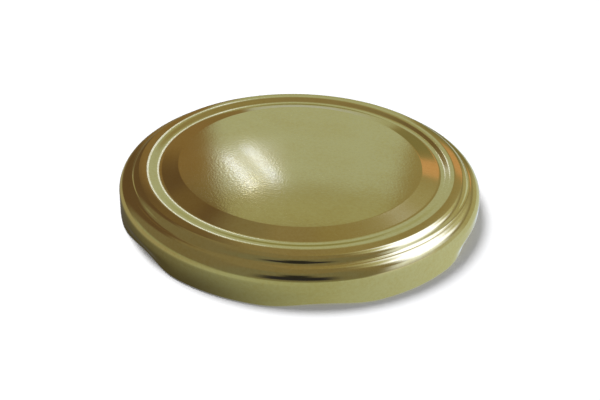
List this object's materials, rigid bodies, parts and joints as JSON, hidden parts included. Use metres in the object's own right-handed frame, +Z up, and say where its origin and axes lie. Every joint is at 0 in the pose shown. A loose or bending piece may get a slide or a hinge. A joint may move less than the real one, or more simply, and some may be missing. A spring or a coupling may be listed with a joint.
{
  "type": "jar lid",
  "caption": "Pressed metal lug lid for a wide-mouth glass jar, with a domed panel, raised ring, curled lugged rim and cast sealing ring.",
  "frame": {"origin": "on the lid's axis, in the plane that the curled rim stands on", "axes": "+Z up along the axis towards the panel; +X right and -Y front, with one lug 7 degrees to the right of the front"},
  "size_m": [0.0856, 0.0856, 0.0116],
  "materials": {
    "gold_lacquer": "glossy gold lacquer on tinplate",
    "compound": "soft off-white compound"
  },
  "bodies": {
    "root": {"shell": "gold_lacquer", "sealing_ring": "compound"}
  },
  "joints": []
}
